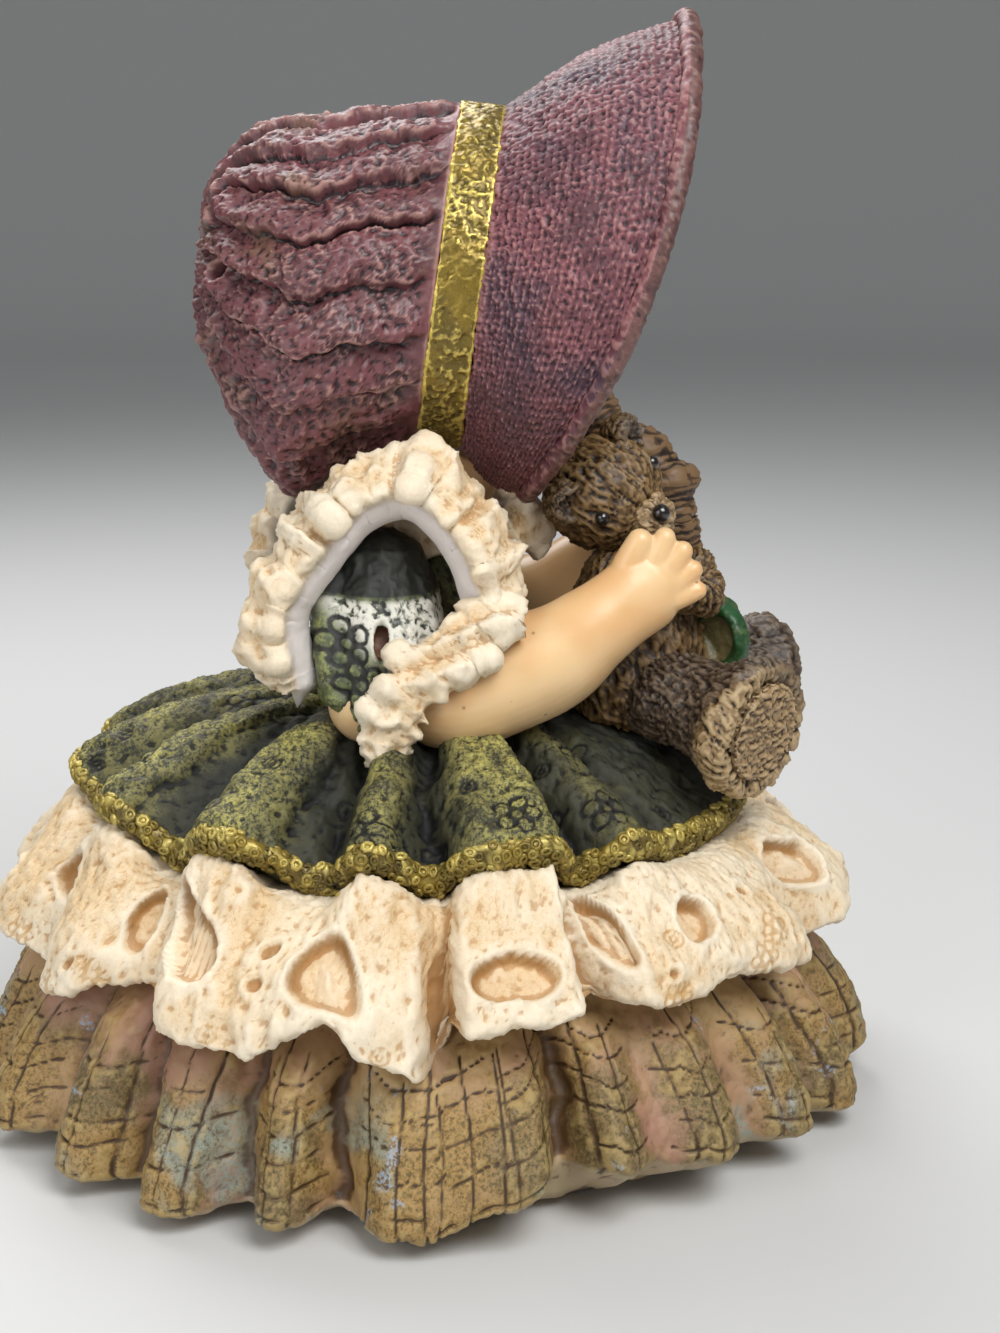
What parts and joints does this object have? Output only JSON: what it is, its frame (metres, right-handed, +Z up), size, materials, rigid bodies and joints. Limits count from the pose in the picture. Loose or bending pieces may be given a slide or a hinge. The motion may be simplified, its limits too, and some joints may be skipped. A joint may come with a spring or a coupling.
{
  "type": "figurine",
  "caption": "Figurine of a child in a poke bonnet and tiered ruffled skirts who sits holding a small bear, on a flat round underside",
  "frame": {"origin": "centre of the flat underside of the foot", "axes": "+Z up, the girl faces -Y, +X towards their left side"},
  "size_m": [0.1083, 0.1079, 0.1269],
  "materials": {
    "bare_cast": "unpainted cast resin",
    "checked_cloth": "antiqued paint on cast resin",
    "lace": "cream and ochre wash on cast resin",
    "green_cloth": "dry brushed satin paint",
    "gold_paint": "gold paint",
    "skin": "satin flesh paint",
    "hair": "satin brown paint",
    "burgundy_cloth": "glossy varnished paint",
    "fur": "washed brown paint",
    "pale_fur": "washed tan paint",
    "black_gloss": "gloss paint",
    "green_ribbon": "satin green paint"
  },
  "bodies": {
    "root": {"core": "bare_cast", "checked_skirt": "checked_cloth", "lace_flounce": "lace", "overskirt": "green_cloth", "beaded_trim": "gold_paint", "bodice": "green_cloth", "neck": "skin", "head": "skin", "hair_fringe": "hair", "hair_right": "hair", "hair_left": "hair", "collar_ruffle": "lace", "bonnet_crown": "burgundy_cloth", "bonnet_band": "gold_paint", "bonnet_brim": "burgundy_cloth", "right_sleeve": "green_cloth", "left_sleeve": "green_cloth", "right_shoulder_ruffle": "lace", "left_shoulder_ruffle": "lace", "right_cuff_ruffle": "lace", "left_cuff_ruffle": "lace", "right_arm": "skin", "left_arm": "skin", "bear_body": "fur", "bear_head": "fur", "bear_muzzle": "pale_fur", "bear_nose": "black_gloss", "bear_eyes": "black_gloss", "bear_right_ear": "fur", "bear_left_ear": "fur", "bear_right_arm": "fur", "bear_left_arm": "fur", "bear_right_leg": "fur", "bear_left_leg": "fur", "bear_right_sole": "pale_fur", "bear_left_sole": "pale_fur", "bear_bow": "green_ribbon"}
  },
  "joints": []
}
